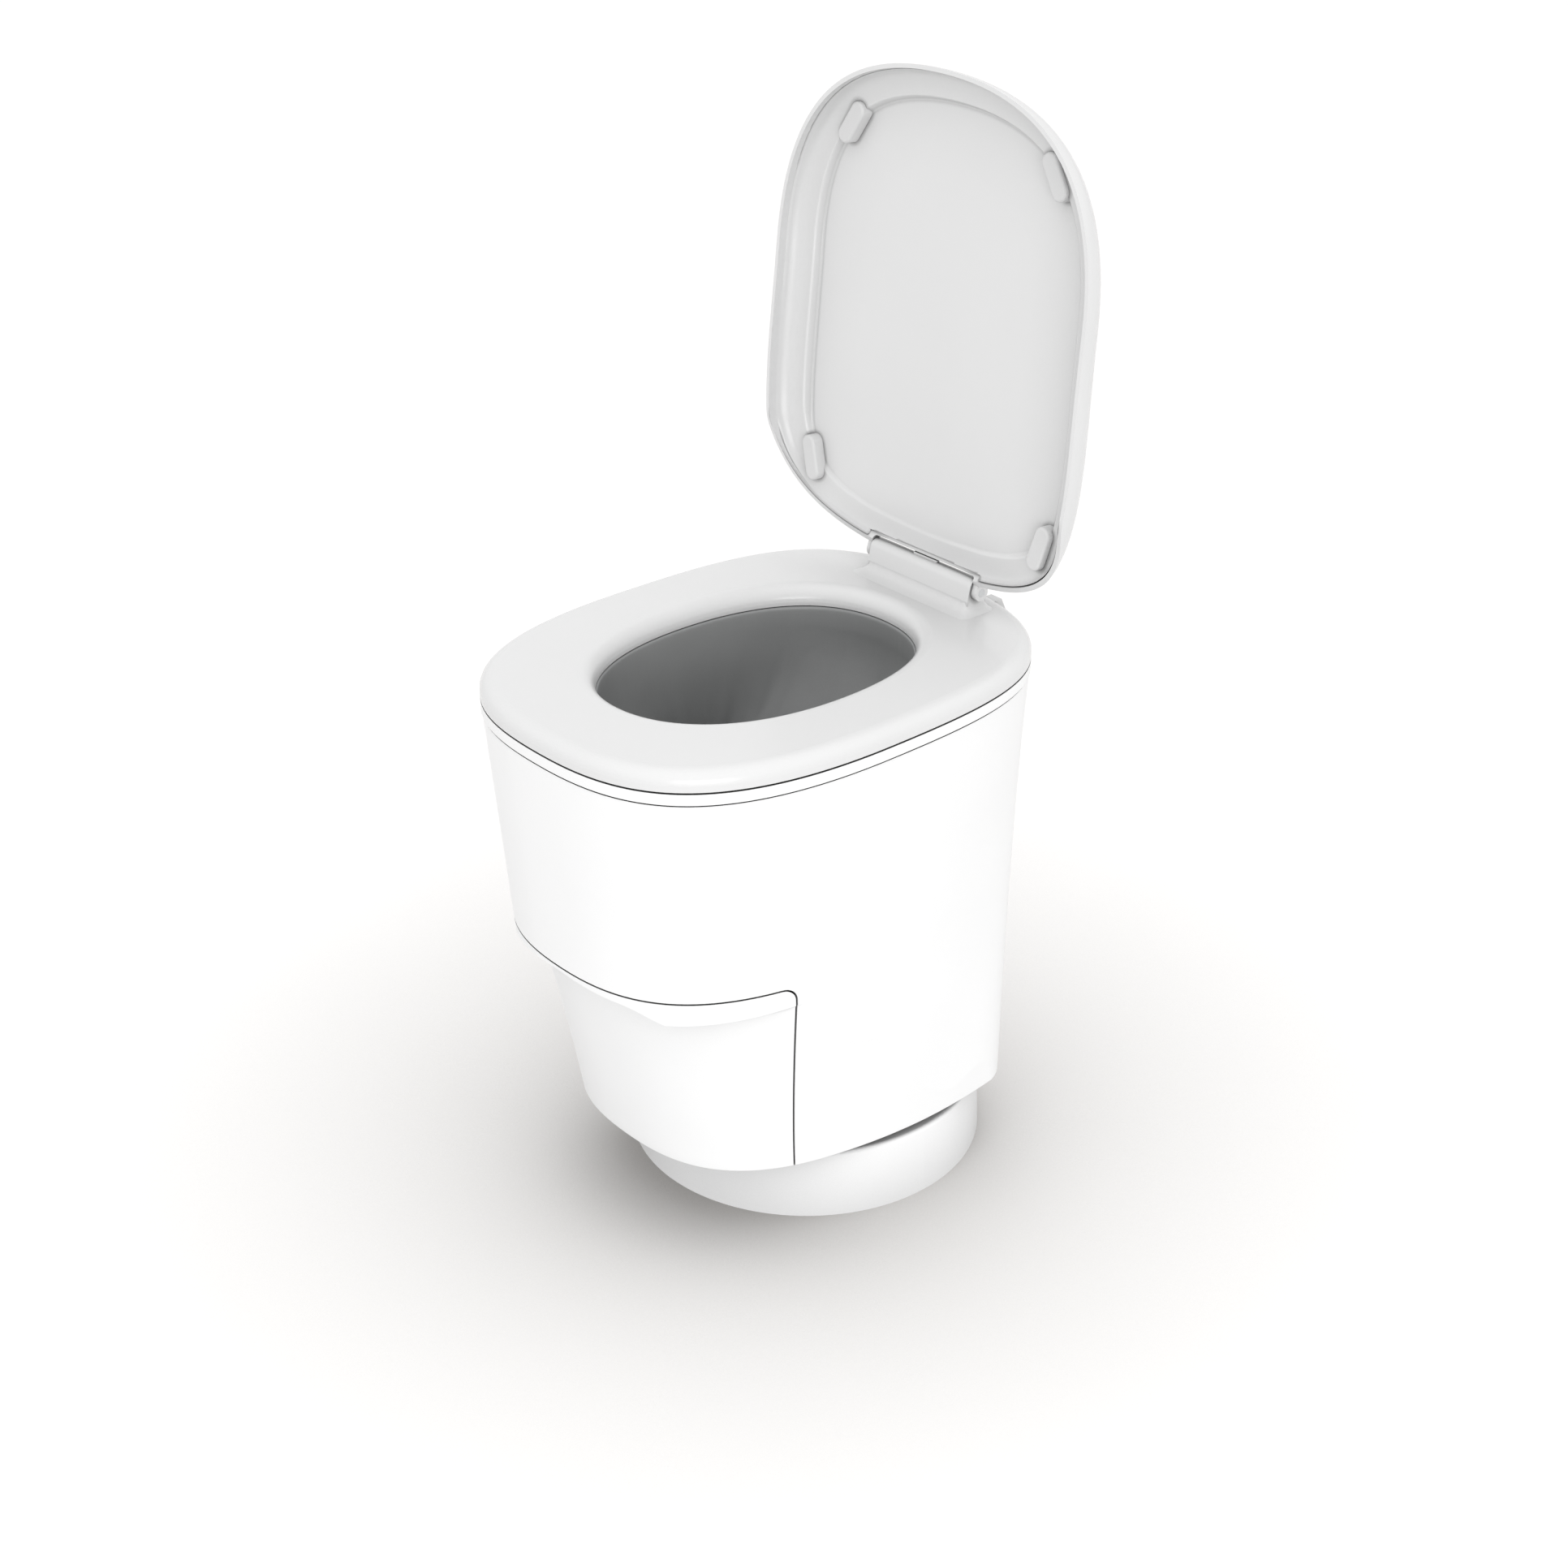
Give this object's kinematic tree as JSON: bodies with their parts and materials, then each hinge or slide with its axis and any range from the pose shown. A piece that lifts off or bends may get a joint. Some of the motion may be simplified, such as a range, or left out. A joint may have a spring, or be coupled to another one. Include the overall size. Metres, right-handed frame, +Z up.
{
  "type": "sealing toilet",
  "caption": "Waterless sealing toilet on a round swivel pedestal, with an overhanging casing, wrap-round bin door, film-lined bowl, hinged seat and deep hollow lid standing open.",
  "frame": {"origin": "centre of the four floor bolts, on the floor under the round base", "axes": "+Z up along the swivel axis, -Y out of the front, +X across the width"},
  "size_m": [0.3978, 0.5135, 1.017],
  "materials": {
    "shell_white": "smooth moulded, satin gloss",
    "seat_white": "smooth moulded, gloss",
    "bumper_grey": "soft matte",
    "film": "thin multilayer film, satin",
    "frame_plastic": "fine moulded grain",
    "dark_plastic": "fine moulded grain",
    "bearing_plastic": "low friction acetal",
    "gear_plastic": "moulded acetal",
    "bin_grey": "fine moulded grain",
    "steel": "bright stainless",
    "aluminium": "fine milled",
    "brass": "turned",
    "rubber": "matte",
    "heater": "glass cloth with release coat",
    "motor": "satin",
    "board_green": "solder mask"
  },
  "bodies": {
    "base": {"base_pedestal": "shell_white", "swivel_ring": "bearing_plastic"},
    "chassis": {"chassis_plate": "frame_plastic", "swivel_retainer": "steel", "retainer_screws": "steel", "body_casing": "shell_white", "casing_screws": "steel", "frame_posts": "aluminium", "front_hangers": "aluminium", "upper_frame": "frame_plastic", "collar_ring": "shell_white", "seat_hinge_pins": "steel", "bowl_funnel": "frame_plastic", "liner_sleeve": "film", "cassette_tray": "frame_plastic", "liner_stack": "film", "cassette_cover": "frame_plastic", "sealer_deck": "aluminium", "guide_rods": "steel", "rod_blocks": "aluminium", "pinion_bushes": "brass", "jaw_motor": "motor", "control_box": "dark_plastic", "control_board": "board_green", "board_cover": "dark_plastic", "power_inlet": "dark_plastic", "drawer_rails": "bearing_plastic"},
    "front_jaw": {"front_jaw_bar": "aluminium", "front_heater": "heater", "feed_motor": "motor"},
    "rear_jaw": {"rear_jaw_bar": "aluminium", "rear_seal_pad": "rubber"},
    "front_roller": {"front_feed_roller": "rubber"},
    "rear_roller": {"rear_feed_roller": "rubber"},
    "pinion_right": {"drive_pinion": "gear_plastic"},
    "pinion_left": {"idler_pinion": "gear_plastic"},
    "drawer": {"front_door": "shell_white", "drawer_carriage": "frame_plastic", "waste_bin": "bin_grey"},
    "seat": {"seat_ring": "seat_white", "seat_buffers": "rubber", "release_tab": "seat_white"},
    "lid": {"lid_shell": "seat_white", "lid_bumpers": "bumper_grey", "hinge_pins": "steel"}
  },
  "joints": [
    {"name": "base_swivel", "type": "hinge", "parent": "base", "child": "chassis", "pos_m": [0, 0, 0.07], "axis": [0, 0, 1], "range_deg": [-90, 90]},
    {"name": "seat_hinge", "type": "hinge", "parent": "chassis", "child": "seat", "pos_m": [0, 0.198, 0.504], "axis": [1, 0, 0], "range_deg": [-75, 0]},
    {"name": "lid_hinge", "type": "hinge", "parent": "seat", "child": "lid", "pos_m": [0, 0.15, 0.55], "axis": [1, 0, 0], "range_deg": [0, 94.5]},
    {"name": "drawer_slide", "type": "slide", "parent": "chassis", "child": "drawer", "axis": [0, -1, 0], "range_m": [0, 0.24]},
    {"name": "front_jaw_slide", "type": "slide", "parent": "chassis", "child": "front_jaw", "axis": [0, 1, 0], "range_m": [0, 0.034]},
    {"name": "rear_jaw_slide", "type": "slide", "parent": "chassis", "child": "rear_jaw", "axis": [0, -1, 0], "range_m": [0, 0.034]},
    {"name": "drive_pinion_spin", "type": "hinge", "parent": "chassis", "child": "pinion_right", "pos_m": [0.15, -0.06, 0.346], "axis": [0, 0, 1], "range_deg": [-162.4, 0]},
    {"name": "idler_pinion_spin", "type": "hinge", "parent": "chassis", "child": "pinion_left", "pos_m": [-0.15, -0.06, 0.346], "axis": [0, 0, 1], "range_deg": [0, 162.4]},
    {"name": "front_roller_spin", "type": "hinge", "parent": "front_jaw", "child": "front_roller", "pos_m": [0, -0.103, 0.323], "axis": [1, 0, 0], "continuous": true},
    {"name": "rear_roller_spin", "type": "hinge", "parent": "rear_jaw", "child": "rear_roller", "pos_m": [0, -0.017, 0.323], "axis": [1, 0, 0], "continuous": true}
  ],
  "couplings": [
    {"joint": "rear_jaw_slide", "follows": "front_jaw_slide", "ratio": 1},
    {"joint": "drive_pinion_spin", "follows": "front_jaw_slide", "rad_per_m": -83.333},
    {"joint": "idler_pinion_spin", "follows": "front_jaw_slide", "rad_per_m": 83.333},
    {"joint": "rear_roller_spin", "follows": "front_roller_spin", "ratio": -1}
  ]
}
